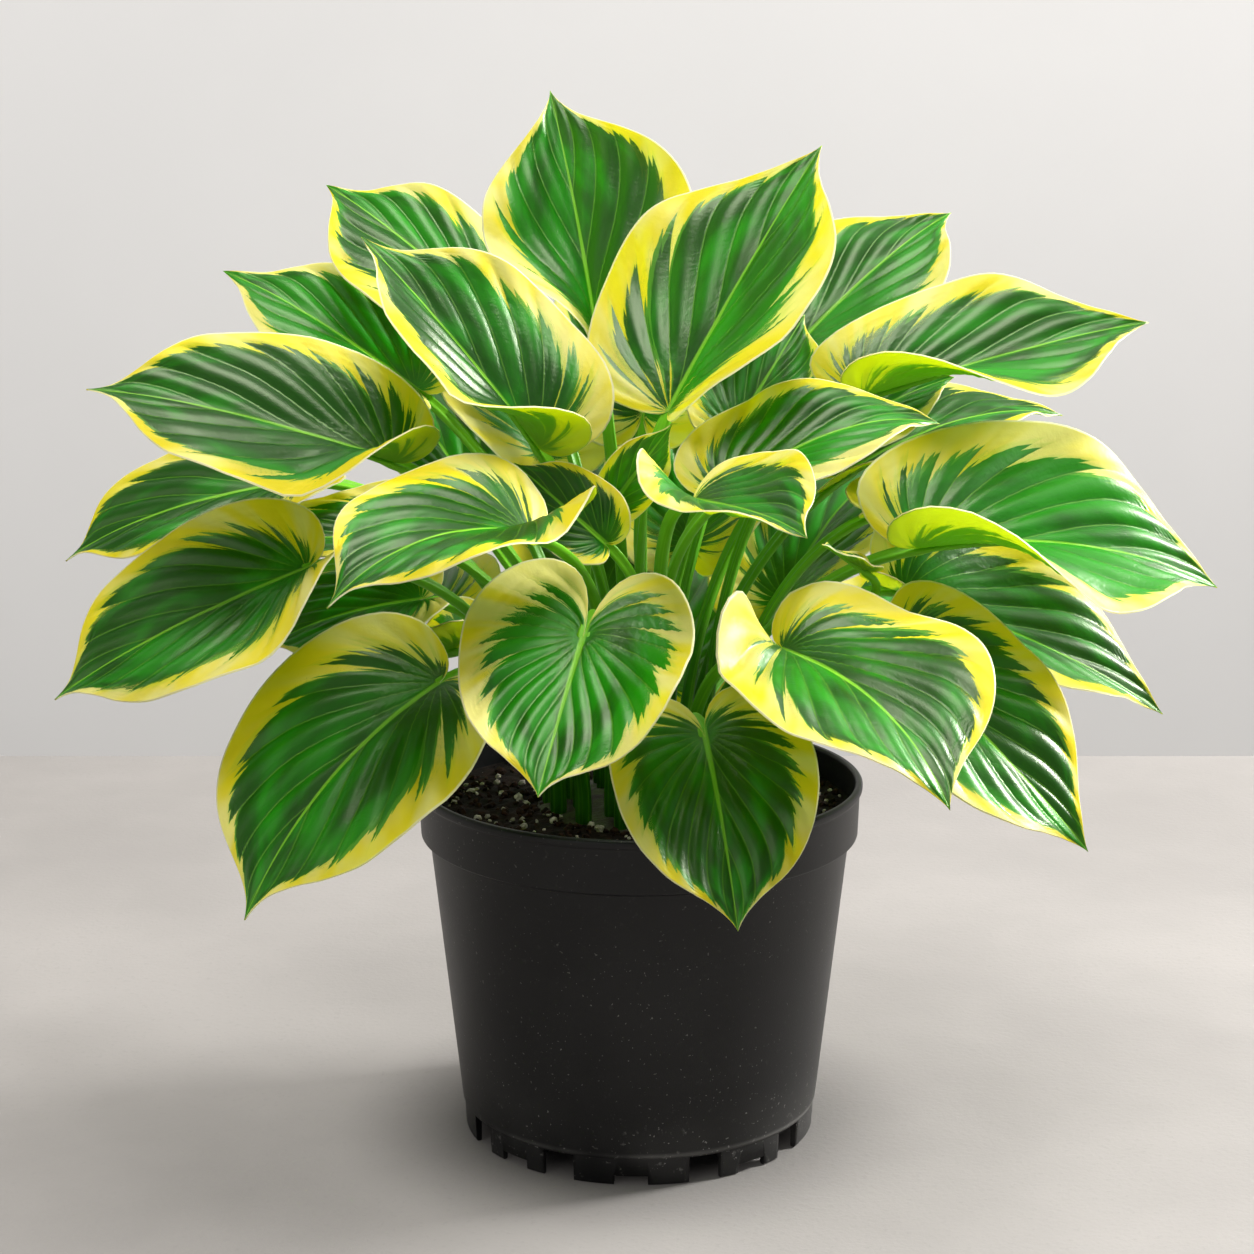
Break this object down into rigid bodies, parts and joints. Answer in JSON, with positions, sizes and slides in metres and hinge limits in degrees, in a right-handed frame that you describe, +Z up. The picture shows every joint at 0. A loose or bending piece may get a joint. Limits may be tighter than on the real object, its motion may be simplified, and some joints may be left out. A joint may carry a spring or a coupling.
{
  "type": "potted hosta plant",
  "caption": "Leafy clump of broad ribbed leaves with pale margins on arching stalks, growing from a crown in a soil-filled tapered nursery pot.",
  "frame": {"origin": "centre of the pot's foot, on the surface it stands on, under the middle of the plant's spread", "axes": "+Z up along the pot's axis; -Y is the front that the picture shows; +X is to its right and is the widest spread"},
  "size_m": [0.5856, 0.4654, 0.5312],
  "materials": {
    "pot": "matte",
    "soil": "matte",
    "crown": "matte",
    "leaf": "satin"
  },
  "bodies": {
    "root": {"pot": "pot", "soil": "soil", "crown": "crown", "leaf_01": "leaf", "leaf_02": "leaf", "leaf_03": "leaf", "leaf_04": "leaf", "leaf_05": "leaf", "leaf_06": "leaf", "leaf_07": "leaf", "leaf_08": "leaf", "leaf_09": "leaf", "leaf_10": "leaf", "leaf_11": "leaf", "leaf_12": "leaf", "leaf_13": "leaf", "leaf_14": "leaf", "leaf_15": "leaf", "leaf_16": "leaf", "leaf_17": "leaf", "leaf_18": "leaf", "leaf_19": "leaf", "leaf_20": "leaf", "leaf_21": "leaf", "leaf_22": "leaf", "leaf_23": "leaf", "leaf_24": "leaf", "leaf_25": "leaf", "leaf_26": "leaf", "leaf_27": "leaf", "leaf_28": "leaf", "leaf_29": "leaf", "leaf_30": "leaf", "leaf_31": "leaf", "leaf_32": "leaf", "leaf_33": "leaf", "leaf_34": "leaf", "leaf_35": "leaf", "leaf_36": "leaf", "leaf_37": "leaf", "leaf_38": "leaf", "leaf_39": "leaf"}
  },
  "joints": []
}
